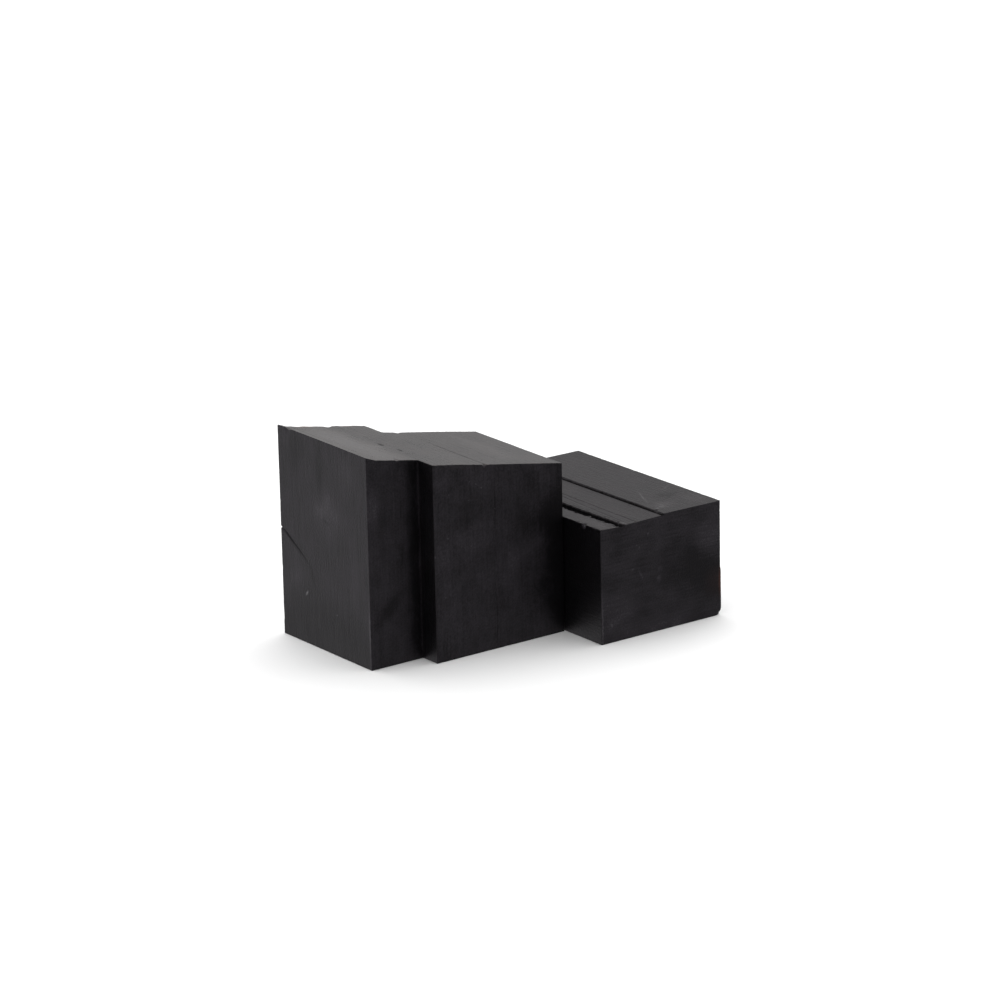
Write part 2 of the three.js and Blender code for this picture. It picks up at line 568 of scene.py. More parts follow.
INNER_CORNERS = (3, 7)  # of that outline
INNER_RADIUS = 0.4
UPRIGHT_WEAR = Wear(
    0.14, Layer(0.04, (9.0, 9.0, 6.0), 41), Chips(0.35, (9.0, 9.0, 2.2), 31, 0.45)
)
FRONT_LEFT_CORNER = 6
TOE_WEAR = 0.22  # added at the foot of that corner
TOE_HEIGHT = 5.5
TOE_FADE = 2.0
UPRIGHT_WALLS = Layer(0.025, (9.0, 9.0, 12.0), 21)

# The rims round the top and the foot: their fine round and their chips.
TOP_ROUND = 0.13
TOP_CHIPS = (Chips(0.30, (1.7, 1.7, 1.0), 51, 0.35), Chips(0.35, (4.5, 4.5, 1.0), 52, 0.4))
BACK_ROUND = 0.06  # added at the back of the top
BACK_CHIPS = Chips(0.15, (4.5, 4.5, 1.0), 52, 0.4)
BACK_MARGIN = 0.6
FOOT_ROUND = 0.12
FOOT_CHIPS = Chips(0.15, (2.5, 2.5, 1.0), 53, 0.3)

TOP_SINK = 0.06  # keeps the top's relief under the CAD solid's plane
TOP_RELIEF = (
    Layer(0.018, (0.6, 9.0, 1.0), 11),  # saw marks
    Layer(0.010, (0.3, 3.0, 1.0), 12),  # finer ones between them
    Layer(0.030, (6.0, 11.0, 1.0), 13),  # swell
)
NICKS = Layer(0.06, (2.0, 9.0, 1.0), 15)  # along the back edge of the top
NICKS_REACH = 2.5

# The scored line on the top, which fades out towards the back.
SCORE_X = 31.9
SCORE_DEPTH = 0.10
SCORE_HALF_WIDTH = 0.35
SCORE_END = 27.5
SCORE_FADE = 6.0
SCORE_WANDER = Layer(0.12, (50.0, 5.0, 1.0), 14)

# The hairline in the front face, from the foot up.
HAIRLINE_X = 34.65
HAIRLINE_LINES = (-0.16, -0.05, 0.05, 0.16)  # grid lines beside it
HAIRLINE_DEPTH = 0.12
HAIRLINE_HALF_WIDTH = 0.16
HAIRLINE_TOP = 44.5
HAIRLINE_FADE = 3.0
HAIRLINE_EVENNESS = 0.75
HAIRLINE_SWING = Layer(0.5, (9.0, 9.0, 3.0), 22)

# The crack on the left face: distance from the front, then height.
CRACK = (
    (45.3, 28.6),
    (43.1, 28.0),
    (41.4, 26.9),
    (39.5, 25.8),
    (36.8, 24.4),
    (33.8, 22.6),
    (31.2, 19.6),
)
CRACK_DEPTH = 0.34
CRACK_HALF_WIDTH = 0.42
CRACK_NARROWING = 0.24  # of the half-width, from the crack's start to its end
CRACK_STRENGTH = 1.3  # share of its depth at its start, held at 1 at most
CRACK_FADE = 1.4  # taken off that share, from the crack's start to its end
CRACK_WRAP = 0.3  # how far it cuts round the edge into the back face
CRACK_MARGIN = 0.75  # distance within which the grid's edges are cut CRACK_CUTS times
CRACK_CUTS = 4
# Chips: middle, reach and shift.
UPRIGHT_CHIPS = (
    ((31.9, 0.0, 49.3), (1.0, 0.9, 0.9), (0.0, 0.35, -0.45)),
    ((0.3, 40.6, 55.9), (2.2, 1.3, 1.5), (0.30, 0.0, -0.50)),
    ((31.1, 37.0, 49.7), (0.9, 0.9, 0.9), (0.0, -0.30, -0.30)),
    ((9.6, 6.1, 53.3), (0.9, 0.8, 0.7), (0.0, 0.20, -0.25)),
    ((15.4, 45.2, 52.6), (1.6, 1.0, 1.0), (0.0, -0.30, -0.25)),
    ((0.0, 14.0, 55.6), (0.8, 0.9, 0.8), (0.20, 0.0, -0.20)),
)
# Pits in the top: middle, half-sizes and depth.
PITS = ((16.7, 23.6, 0.5, 1.7, 0.28), (17.9, 16.9, 0.45, 1.3, 0.22), (9.6, 7.1, 0.5, 0.8, 0.2))
PIT_RIM = 1.3  # how far a pit's edge slopes out, in half-sizes
# Unevenness across the top: distance from the left face, then height.
TOP_WAVES = (
    (0.0, 0.0),
    (2.9, 0.0),
    (9.0, -0.03),
    (16.0, -0.10),
    (24.0, 0.02),
    (33.0, -0.04),
    (44.0, 0.02),
    (56.1, 0.0),
)

UPRIGHT_TOP_MARKS_AND_SHADE = (
    Mark((8.0, 24.0, 54.0), (9.5, 40.0, 12.0), 0.95),
    Mark((14.1, 21.4, 52.5), (1.6, 1.4, 3.0), 0.7),
    # Painted shade in the two pits.
    Mark((16.7, 23.6, 52.0), (0.7, 2.0, 3.0), -0.9),
    Mark((17.9, 16.9, 52.0), (0.6, 1.6, 3.0), -0.9),
    Mark((22.0, 22.0, 51.0), (0.7, 9.0, 4.0), -0.35),
    Mark((26.5, 25.0, 50.0), (0.6, 7.0, 4.0), -0.5),
    # Painted shade along the scored line.
    Mark((32.2, 15.0, 49.5), (0.9, 14.0, 4.0), -0.30),
    Mark((44.5, 20.0, 47.0), (5.0, 24.0, 4.0), 0.25),
)
UPRIGHT_TOP_STAINS = (
    Stain((7.9, 44.6, 54.0), (4.0, 1.2, 3.0), 0.8, (0.110, 0.062, 0.040)),
    Stain((20.5, 44.6, 51.5), (2.6, 1.0, 3.0), 0.8, (0.060, 0.028, 0.016)),
    Stain((31.1, 36.6, 49.5), (0.8, 0.8, 3.0), 0.9, (0.030, 0.008, 0.006)),
)
LEFT_FACE_MARKS_AND_PAINTED_LIGHT = (
    Mark((0.0, 24.6, 37.0), (3.0, 10.5, 9.0), 0.6),
    Mark((0.0, 24.6, 34.6), (3.0, 2.0, 0.8), -0.6, (20, 0, 0)),
    Mark((0.0, 16.1, 49.0), (3.0, 6.0, 8.0), 0.30),
    Mark((0.0, 27.0, 47.0), (3.0, 2.4, 12.0), -0.6),
    Mark((0.0, 37.5, 50.0), (3.0, 4.5, 9.0), -0.45),
    # Painted shade along the crack, beside its carved groove.
    Mark((0.0, 38.2, 24.9), (3.0, 8.5, 1.0), -1.1, (32.0, 0, 0)),
    Mark((0.0, 31.5, 19.0), (3.0, 1.2, 6.0), -0.5, (-20.0, 0, 0)),
    Mark((0.0, 39.5, 19.0), (3.0, 6.0, 8.0), 0.30),
    Mark((0.0, 34.2, 13.5), (3.0, 0.50, 1.5), 2.6, (40, 0, 0)),
    Mark((0.0, 20.9, 10.9), (3.0, 0.35, 0.35), 2.4),
    # Painted shade: darker towards the bottom, where the reflected contact shadow falls.
    Mark((0.0, 26.0, 0.0), (3.0, 34.0, 18.0), -1.2),
    Mark((0.0, 20.0, 2.5), (3.0, 16.0, 7.0), -0.9),
    Mark((0.0, 12.5, 22.0), (3.0, 3.0, 16.0), 0.25),
    # Painted highlight along the lower part of the front left arris.
    Mark((0.0, 6.5, 4.0), (3.0, 0.6, 20.0), 1.1),
)
FRONT_FACE_MARKS_AND_PAINTED_LIGHT = (
    Mark((1.7, 6.1, 42.3), (2.8, 2.0, 11.0), 0.4),
    Mark((5.9, 6.1, 15.0), (9.5, 2.0, 2.8), -0.55, (0, -42.0, 0)),
    Mark((5.0, 6.1, 51.0), (8.0, 2.0, 5.0), -0.2),
    Mark((5.0, 6.1, 28.0), (5.0, 2.0, 9.0), 0.15),
    # Painted shade: darker towards the inner corner of the rebate.
    Mark((15.0, 6.1, 30.0), (4.4, 2.0, 60.0), -0.70),
    # Painted highlight: the light line of the inner corner's fillet.
    Mark((15.5, 6.1, 27.0), (0.35, 2.0, 90.0), 0.6),
    Mark((27.6, 0.0, 37.8), (12.0, 2.0, 5.5), -0.22),
    Mark((45.6, 0.0, 42.0), (5.0, 2.0, 4.5), -0.24),
    Mark((43.5, 0.0, 31.5), (5.5, 2.0, 7.5), -0.26),
    Mark((53.5, 0.0, 34.0), (7.5, 2.0, 9.0), -0.35),
    Mark((39.0, 0.0, 20.0), (6.5, 2.0, 11.0), 0.22),
    Mark((26.7, 0.0, 26.5), (6.0, 2.0, 8.5), 0.22),
    Mark((20.0, 0.0, 18.0), (4.5, 2.0, 18.0), 0.15),
    # Painted shade: darker towards the right edge, beside the lying block.
    Mark((57.5, 0.0, 14.0), (12.0, 2.0, 40.0), -1.1),
    Mark((50.0, 0.0, 3.0), (5.0, 2.0, 6.0), 0.25),
    Mark((34.7, 0.0, 38.0), (0.40, 2.0, 8.0), -0.5),
    Mark((34.7, 0.0, 37.1), (0.30, 2.0, 0.30), 1.3),
    Mark((29.0, 0.0, 44.6), (0.28, 2.0, 0.28), 1.1),
    Mark((30.6, 0.0, 43.4), (0.25, 2.0, 0.25), 1.0),
    Mark((27.0, 0.0, 45.6), (0.25, 2.0, 0.25), 1.0),
    Mark((20.0, 0.0, 32.1), (0.30, 2.0, 0.30), 1.2),
    Mark((18.9, 0.0, 16.8), (0.30, 2.0, 0.30), 1.2),
    Mark((20.6, 0.0, 43.4), (0.28, 2.0, 0.28), 1.1),
    Mark((49.8, 0.0, 35.3), (0.30, 2.0, 0.30), 1.1),
    Mark((16.0, 0.0, 28.0), (0.30, 2.0, 0.35), 1.0),
)


def crack_distance(y, z):
    """Distance from the crack on the left face, and how far along it the nearest point is."""
    best = np.full(len(y), np.inf)
    along_best = np.zeros(len(y))
    points = np.array(CRACK)
    for k, (start, end) in enumerate(zip(points, points[1:])):
        side = end - start
        offset = np.column_stack([y, z]) - start
        share = np.clip(offset @ side / (side @ side), 0, 1)
        distance = np.linalg.norm(offset - share[:, None] * side, axis=1)
        closer = distance < best
        best = np.where(closer, distance, best)
        along_best = np.where(closer, (k + share) / (len(points) - 1), along_best)
    return best, along_best


def crack_depth(x, y, z):
    """Depth of the crack, which narrows and fades along its course."""
    distance, along = crack_distance(y, z)
    half_width = CRACK_HALF_WIDTH - CRACK_NARROWING * along
    fade = np.clip(CRACK_STRENGTH - CRACK_FADE * along, 0, 1)
    return np.where(x < CRACK_WRAP, CRACK_DEPTH * bump(distance, half_width) * fade, 0)


def hairline_depth(points):
    """Depth of the hairline in the front face, which is uneven and fades towards its upper end."""
    x, y, z = points.T
    fade = np.clip((HAIRLINE_TOP - z) / HAIRLINE_FADE, 0, 1)
    uneven = HAIRLINE_EVENNESS + layered(points, HAIRLINE_SWING)
    depth = HAIRLINE_DEPTH * bump(x - HAIRLINE_X, HAIRLINE_HALF_WIDTH) * fade * uneven
    return np.where(y < ON_FACE, depth, 0)


def upright_top(x, y):
    """Height of the sloping sawn top, with its lip, waves, saw marks, pits and scored line."""
    u = UPRIGHT
    plane = u["height"] + u["rise"] * (y - u["rebate_depth"]) - u["fall"] * x
    lip = np.clip(1 - x / u["lip_width"], 0, 1) * u["lip_height"]
    stops, waves = zip(*TOP_WAVES)
    place = on_plan(x, y)
    height = plane + lip + np.interp(x, stops, waves) + layered(place, *TOP_RELIEF) - TOP_SINK
    nicked = np.clip(1 - (u["depth"] - y) / NICKS_REACH, 0, 1)
    height -= nicked * (NICKS.height + layered(place, NICKS))
    for pit_x, pit_y, half_x, half_y, depth in PITS:
        away = np.hypot((x - pit_x) / half_x, (y - pit_y) / half_y)
        height -= depth * bump(away, PIT_RIM)
    beside = x - SCORE_X - layered(place, SCORE_WANDER)
    fade = np.clip((SCORE_END - y) / SCORE_FADE, 0, 1)
    return height - SCORE_DEPTH * bump(beside, SCORE_HALF_WIDTH) * fade


def upright_corner_radius(k, place):
    """Radius of the vertical edge over outline corner k. The front left one is worn at its foot."""
    if k in INNER_CORNERS:
        return INNER_RADIUS
    worn = worn_radius(place, UPRIGHT_WEAR, k)
    if k == FRONT_LEFT_CORNER:
        worn += TOE_WEAR * np.clip((TOE_HEIGHT - place[:, 2]) / TOE_FADE, 0, 1)
    return worn


def upright_rims(x, y):
    """Worn radius of the rim round the top, which is widest at the back, and of the foot's."""
    place = on_plan(x, y)
    at_back = y > UPRIGHT["back_face"] - BACK_MARGIN
    back_wear = np.where(at_back, BACK_ROUND + chipped(place, BACK_CHIPS), 0)
    top = TOP_ROUND + chipped(place, *TOP_CHIPS) + back_wear
    return top, FOOT_ROUND + chipped(place, FOOT_CHIPS)


def upright_grid():
    """Points (x, y, share of the height) and faces of the upright block, finer at the crack."""
    u = UPRIGHT
    x_stops = (0, u["rebate_width"], u["tail_width"], u["width"])
    y_stops = (0, u["rebate_depth"], u["back_face"], u["depth"])
    x_step, y_step, z_step = UPRIGHT_STEPS
    x_lines = np.union1d(grid_lines(x_stops, x_step), HAIRLINE_X + np.array(HAIRLINE_LINES))
    y_lines = grid_lines(y_stops, y_step)
    levels = grid_lines((0, u["height"]), z_step) / u["height"]
    x_mid, y_mid = np.meshgrid(
        (x_lines[1:] + x_lines[:-1]) / 2, (y_lines[1:] + y_lines[:-1]) / 2, indexing="ij"
    )
    filled = np.ones(x_mid.shape, bool)
    filled[(x_mid < u["rebate_width"]) & (y_mid < u["rebate_depth"])] = False
    filled[(x_mid > u["tail_width"]) & (y_mid > u["back_face"])] = False
    flat, quads = prism(x_lines, y_lines, filled, levels)

    def near_crack(middles):
        distance, _ = crack_distance(middles[:, 1], middles[:, 2] * u["height"])
        return (middles[:, 0] < ON_FACE) & (distance < CRACK_MARGIN)

    return refine(flat, quads, near_crack, CRACK_CUTS)


def upright_materials(origin):
    """One material for each slot from TOP to INNER."""
    return [
        carbon(
            "sawn_top",
            origin,
            SAWN_TONES,
            (0.5, 8.0, 8.0),
            SAWN_FINISH,
            UPRIGHT_TOP_MARKS_AND_SHADE,
            UPRIGHT_TOP_STAINS,
            TOP_GRAIN,
        ),
        carbon("ground_side", origin, SIDE_TONES, (5.0, 1.1, 6.0), SIDE_FINISH, LEFT_FACE_MARKS_AND_PAINTED_LIGHT),
        carbon("brushed_front", origin, SIDE_TONES, (0.6, 5.0, 9.0), SIDE_FINISH, FRONT_FACE_MARKS_AND_PAINTED_LIGHT),
        carbon("sawn_foot", origin, SIDE_TONES, (0.6, 6.0, 6.0), FOOT_FINISH),
        # Painted shade: darker tones for the rebate's side in the inner corner.
        carbon("rebate_side_painted_shade", origin, REBATE_PAINTED_SHADE_TONES, (5.0, 0.6, 9.0), SIDE_FINISH),
    ]


def upright_block():
    u = UPRIGHT
    outline = upright_outline()
    flat, faces = upright_grid()
    x, y, share = flat.T
    heights = upright_top(x, y)
    points = np.column_stack([x, y, share * heights])

    _, away = inward(points[:, :2], outline)
    depth = UPRIGHT_WALLS.height + layered(points, UPRIGHT_WALLS)
    depth += crack_depth(*points.T) + hairline_depth(points)
    points[:, :2] += np.where(on_wall(share), depth, 0)[:, None] * away
    round_upright_arrises(points, outline, upright_corner_radius)
    round_rims(points, share, heights, outline, *upright_rims(x, y))
    carve(points, UPRIGHT_CHIPS)

    def in_front_rebate(x, y):
        return abs(x - u["rebate_width"]) < ON_FACE and y < u["rebate_depth"]

    origin = np.array(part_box("upright_block")[0])
    slots = face_slots(flat, faces, in_front_rebate)
    return make_piece("upright_carbon", points, faces, slots, upright_materials(origin), origin)


# ---------------------------------------------------------------- the lying block

# The lines that run along the lying block's top, by their distance from its left face.
LEDGE_EDGE = 5.45
KERF_EDGE = 7.8
FAINT_SCORE_AT = 10.2
SCORE_AT = 12.5
STEP_EDGE = 20.5
# A line's wander: how far beside it the top follows, its slow and its fast part, and its seed.
Wander = namedtuple("Wander", "line reach slow fast seed")
WANDERS = (
    Wander(LEDGE_EDGE, 1.5, 0.16, 0.16, 71),
    Wander(KERF_EDGE, 1.1, 0.08, 0.12, 72),
    Wander(STEP_EDGE, 0.9, 0.05, 0.05, 73),
    Wander(SCORE_AT, 1.6, 0.05, 0.02, 74),
    Wander(FAINT_SCORE_AT, 1.9, 0.05, 0.02, 75),
)
SLOW_CELL = (1.0, 6.0, 1.0)
FAST_CELL = (1.0, 0.8, 1.0)
WANDER_DEPTH = 3.0  # below the top, where the walls no longer follow
SCORE_SLANT = 0.020  # sideways for each millimetre towards the back
SCORE_START = -0.8  # sideways at the front
FAINT_SCORE_SLANT = 0.058
FAINT_SCORE_START = -1.15
FAINT_SCORE_END = 34.0  # where the fainter line has run out
FAINT_SCORE_FADE = 4.0
FAINT_SCORE_DEPTH = 0.08
FAINT_SCORE_HALF_WIDTH = 0.2
LINE_OFFSETS = (-0.12, 0.0, 0.12)  # grid lines at and beside each line
CLOSEST_LINES = 0.04  # a grid line nearer than this to the one before it is left out

# Bumps along the block, by their distance from its front: middle, reach and height.
LEDGE_OVERHANG = ((0.0, 14.0, 0.8), (12.0, 1.0, 0.9))  # over the kerf; the second is a crumb
KERF_FILL = ((0.0, 1.6, 1.05),)
STEP_FOOT_FILL = ((0.0, 1.0, 0.45), (2.2, 2.0, -0.35))
CRUMBLED = ((2.5, 4.0, 1.0),)  # the stretch of the kerf that holds crumbs
# The kerf's torn rims, by their distance from the block's left face.
KERF_RIMS = ((5.2, 0.9, 1.0), (8.1, 0.7, 0.6))
KERF_TEARS = Chips(0.5, (0.5, 0.9, 1.0), 63, 0.15)
KERF_CRUMBS = Chips(1.6, (0.6, 0.7, 1.0), 64, 0.25)
KERF_SINK = 0.20  # of its floor below TERRACES
KERF_SPAN = (5.5, 7.8)
STEP_FOOT_SPAN = (19.7, 20.6)
TORN_SHADED_SPANS = ((5.4, 7.85), (19.75, 20.5))  # torn floors, dull, and darkened with painted shade in the kerf and the step's foot

LYING_SINK = 0.03  # keeps the top's relief under the CAD solid's top
LYING_RELIEF = (Layer(0.010, (0.8, 7.0, 1.0), 61), Layer(0.018, (7.0, 9.0, 1.0), 62))
LYING_WALLS = Layer(0.025, (9.0, 9.0, 9.0), 81)
LYING_WEAR = Wear(0.16, Layer(0.04, (9.0, 9.0, 5.0), 95), Chips(0.25, (9.0, 9.0, 2.0), 91, 0.4))
FRONT_RIGHT_CORNER = 1
SHOULDER_WEAR = 0.38  # added to that corner from SHOULDER_Z up
SHOULDER_Z = 12.2
SHOULDER_FADE = 0.8
HEEL_WEAR = 0.4  # added at its foot
HEEL_HEIGHT = 1.5
LYING_TOP_ROUND = 0.14
LYING_TOP_CHIPS = Chips(0.2, (1.5, 1.5, 1.0), 101, 0.35)
LEFT_TEARS = Chips(0.5, (1.0, 1.1, 1.0), 102, 0.0)
LEFT_TEARS_WIDTH = 1.2
LYING_FOOT_ROUND = 0.13
LYING_FOOT_CHIPS = Chips(0.15, (2.5, 2.5, 1.0), 103, 0.3)
LYING_CHIPS = (
    ((0.0, 6.9, 30.6), (1.1, 1.2, 1.5), (0.50, 0.0, -0.40)),
    ((0.0, 9.6, 30.6), (0.8, 1.0, 1.0), (0.25, 0.0, -0.25)),
    ((0.0, 2.4, 30.6), (0.7, 0.8, 0.8), (0.20, 0.0, -0.20)),
    ((39.1, 0.0, 0.0), (1.8, 1.8, 1.8), (-0.35, 0.35, 0.20)),
    ((8.0, 3.2, 30.4), (0.8, 0.7, 0.8), (0.25, 0.0, -0.25)),
    ((20.8, 3.6, 30.9), (0.7, 0.6, 0.8), (0.20, 0.0, -0.40)),
)

LYING_TOP_MARKS = (
    Mark((25.4, 15.1, 30.9), (0.26, 10.0, 3.0), 1.1, (0, 0, -26.8)),
    Mark((24.0, 11.5, 30.9), (0.26, 4.0, 3.0), 0.8, (0, 0, -26.8)),
    Mark((21.9, 4.6, 30.9), (1.0, 0.8, 3.0), 1.2),
    Mark((24.0, 5.2, 30.9), (1.2, 1.0, 3.0), 0.8),
    Mark((25.4, 6.4, 30.9), (4.6, 4.0, 3.0), 0.6),
    Mark((35.3, 18.0, 30.9), (0.4, 4.5, 3.0), 0.7, (0, 0, -60.0)),
    Mark((31.5, 11.5, 30.9), (0.5, 6.0, 3.0), -0.7, (0, 0, -62.0)),
    Mark((31.0, 13.0, 30.9), (5.0, 3.0, 3.0), -0.45),
    Mark((35.5, 6.0, 30.9), (5.0, 7.0, 3.0), 0.35),
    Mark((3.0, 6.0, 30.5), (2.6, 9.0, 3.0), 0.4),
    Mark((8.8, 1.6, 30.4), (1.2, 1.4, 3.0), 0.9),
)
LYING_FRONT_MARKS_AND_HIGHLIGHT = (
    Mark((27.0, 0.0, 14.5), (15.0, 3.0, 9.5), -0.42, (0, 12.0, 0)),
    Mark((37.0, 0.0, 10.5), (9.0, 3.0, 8.5), -0.70),
    Mark((29.6, 0.0, 18.0), (3.5, 3.0, 7.0), -0.25),
    Mark((36.0, 0.0, 24.0), (7.0, 3.0, 8.0), 0.40),
    Mark((19.1, 0.0, 16.6), (1.1, 3.0, 1.2), 0.6),
    Mark((18.7, 0.0, 14.0), (1.2, 3.0, 1.4), 0.7),
    Mark((10.3, 0.0, 18.0), (0.8, 3.0, 0.8), 0.6),
    Mark((12.7, 0.0, 16.6), (0.5, 3.0, 2.8), 0.6, (0, -25.0, 0)),
    Mark((6.0, 0.0, 7.0), (9.0, 3.0, 9.0), 0.35),
    Mark((19.0, 0.0, 1.0), (18.0, 3.0, 4.5), 0.45),
    # Painted highlight along the lower part of the left arris.
    Mark((0.3, 0.0, 4.0), (0.6, 3.0, 13.0), 0.8),
    Mark((15.3, 0.0, 26.6), (0.55, 3.0, 0.55), 0.9),
    Mark((12.4, 0.0, 23.6), (0.35, 3.0, 0.35), 1.0),
    Mark((11.6, 0.0, 24.2), (0.30, 3.0, 0.30), 1.0),
    Mark((3.3, 0.0, 4.6), (0.30, 3.0, 0.8), 0.9),
)
LYING_FRONT_STAINS = (
    Stain((38.3, 0.0, 9.6), (6.5, 3.0, 6.0), 0.95, (0.0100, 0.0036, 0.0026)),
    Stain((39.2, 0.0, 9.2), (1.3, 3.0, 6.5), 0.95, (0.0700, 0.0190, 0.0070)),
)
LYING_LEFT_MARKS_AND_SHADE = (
    # Painted shade where the face stands beside the upright, darkest at the front.
    Mark((0.0, 0.0, 15.0), (6.0, 32.0, 60.0), -1.7),
    Mark((0.0, 6.9, 30.2), (3.0, 1.3, 1.5), 2.6),
    Mark((0.0, 1.6, 28.2), (3.0, 2.6, 4.0), 1.3),
)


def lying_corner_radius(k, place):
    """Radius of the vertical edge over outline corner k. The front right one is more worn in its
    upper part and at its foot."""
    z = place[:, 2]
    worn = worn_radius(place, LYING_WEAR, k)
    if k == FRONT_RIGHT_CORNER:
        worn += SHOULDER_WEAR * np.clip((z - SHOULDER_Z) / SHOULDER_FADE, 0, 1)
        worn += HEEL_WEAR * bump(z, HEEL_HEIGHT)
    return worn


def lying_rims(x, y):
    """Worn radius of the rim round the top, which is torn on the left, and of the foot's."""
    place = on_plan(x, y)
    torn = np.where(x < LEFT_TEARS_WIDTH, chipped(place, LEFT_TEARS), 0)
    top = LYING_TOP_ROUND + chipped(place, LYING_TOP_CHIPS) + torn
    return top, LYING_FOOT_ROUND + chipped(place, LYING_FOOT_CHIPS)


def lying_top(x, y):
    """Height of the stepped top. Both grooves run out shallow at the front, the kerf holds crumbs
    and its rims are torn."""
    place = on_plan(x, y)
    height = np.interp(x, TERRACE_X, TERRACE_Z) + layered(place, *LYING_RELIEF) - LYING_SINK
    crumbs = chipped(place, KERF_CRUMBS) * bumps(y, CRUMBLED)
    height += np.where(between(x, KERF_SPAN), bumps(y, KERF_FILL) - KERF_SINK + crumbs, 0)
    height += np.where(between(x, STEP_FOOT_SPAN), bumps(y, STEP_FOOT_FILL), 0)
    height -= chipped(place, KERF_TEARS) * bumps(x, KERF_RIMS)
    fade = np.clip((FAINT_SCORE_END - y) / FAINT_SCORE_FADE, 0, 1)
    return height - FAINT_SCORE_DEPTH * bump(x - FAINT_SCORE_AT, FAINT_SCORE_HALF_WIDTH) * fade


def steady_shift(line, y):
    """The part of a line's shift that isn't random: the slant of the scored lines, and the ledge
    that grows over the kerf towards the front."""
    if line == SCORE_AT:
        return SCORE_START + SCORE_SLANT * y
    if line == FAINT_SCORE_AT:
        return FAINT_SCORE_START + FAINT_SCORE_SLANT * np.minimum(y, FAINT_SCORE_END)
    if line == LEDGE_EDGE:
        return bumps(y, LEDGE_OVERHANG)
    return 0


def shift_lines(points, y, near_top):
    """Makes the edges of the kerf and the step, and the scored lines, wander."""
    along = on_plan(np.zeros(len(y)), y)
    for line, reach, slow, fast, seed in WANDERS:
        layers = Layer(slow, SLOW_CELL, seed), Layer(fast, FAST_CELL, seed + 9)
        shift = layered(along, *layers) + steady_shift(line, y)
        points[:, 0] += near_top * bump(points[:, 0] - line, reach) * shift


def lying_grid():
    """Points (x, y, share of the height) and quads of the lying block, finer at its lines."""
    x_step, y_step, z_step = LYING_STEPS
    fine = np.append(TERRACE_X[1:-1], FAINT_SCORE_AT)
    beside = (fine[:, None] + np.array(LINE_OFFSETS)).ravel()
    x_lines = np.union1d(grid_lines((0, LYING["width"]), x_step), beside)
    x_lines = x_lines[np.append(True, np.diff(x_lines) > CLOSEST_LINES)]
    y_lines = grid_lines((0, LYING["length"]), y_step)
    levels = grid_lines((0, max(TERRACE_Z)), z_step) / max(TERRACE_Z)
    filled = np.ones((len(x_lines) - 1, len(y_lines) - 1), bool)
    return prism(x_lines, y_lines, filled, levels)


def lying_materials(origin):
    """One material for each slot."""
    return [
        carbon(
            "planed_top",
            origin,
            PLANED_TONES,
            (0.8, 8.0, 8.0),
            PLANED_FINISH,
            LYING_TOP_MARKS,
            grain=TOP_GRAIN,
        ),
        carbon("planed_side", origin, SIDE_TONES, (5.0, 9.0, 0.5), SIDE_FINISH),
        carbon(
            "brushed_end",
            origin,
            SIDE_TONES,
            (9.0, 5.0, 0.5),
            SIDE_FINISH,
            LYING_FRONT_MARKS_AND_HIGHLIGHT,
            LYING_FRONT_STAINS,
        ),
        carbon("planed_foot", origin, SIDE_TONES, (6.0, 0.6, 6.0), FOOT_FINISH),
        # The left face's dark front part is painted shade beside the upright.
        carbon("left_side", origin, SIDE_TONES, (5.0, 9.0, 0.5), SIDE_FINISH, LYING_LEFT_MARKS_AND_SHADE),
        # The torn floors' dark tones are painted shade in the kerf and the step's foot groove; their
        # roughness is the torn carbon's own.
        carbon("torn", origin, TORN_PAINTED_SHADE_TONES, (0.5, 1.5, 0.5), TORN_FINISH),
    ]


def lying_block():
    width, length = LYING["width"], LYING["length"]
    outline = [(0, 0), (width, 0), (width, length), (0, length)]
    flat, quads = lying_grid()
    faces = quads.tolist()
    x, y, share = flat.T
    heights = lying_top(x, y)
    points = np.column_stack([x, y, share * heights])
    shift_lines(points, y, np.clip(1 - (1 - share) * max(TERRACE_Z) / WANDER_DEPTH, 0, 1))

    _, away = inward(flat[:, :2], outline)
    depth = LYING_WALLS.height + layered(points, LYING_WALLS)
    points[:, :2] += np.where(on_wall(share), depth, 0)[:, None] * away
    round_upright_arrises(points, outline, lying_corner_radius)
    round_rims(points, share, heights, outline, *lying_rims(x, y))
    carve(points, LYING_CHIPS)

    slots = face_slots(flat, faces, lambda x, y: x < ON_FACE)
    middle_x = flat[quads].mean(axis=1)[:, 0]
    for span in TORN_SHADED_SPANS:
        slots[(slots == TOP) & between(middle_x, span)] = TORN
    origin = np.array(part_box("lying_block")[0])
    return make_piece("lying_carbon", points, faces, slots, lying_materials(origin), origin)


# ---------------------------------------------------------------- stage, light and camera

FLOOR_SIZE = 12.0
FLOOR_DROP = 0.05 * MM
FLOOR_COLOUR = (0.9, 0.9, 0.9, 1)
BACKDROP_RADIUS = 5.5
BACK_GLOW = 0.60  # brightness of the surroundings behind the blocks
FRONT_GLOW = 0.16  # and in front of them
SUN_STRENGTH = 3.4
SUN_SPREAD = 100  # this and the angles below are in degrees
SUN_TURN = (-12, 10, 0)
CAMERA_AIM = (0.64 * MM, 1.36 * MM, 32.84 * MM)
CAMERA_DISTANCE = 1.1576
CAMERA_AZIMUTH = -36.24
CAMERA_ELEVATION = 16.91
CAMERA_ROLL = -1.19
CAMERA_LENS = 162.73


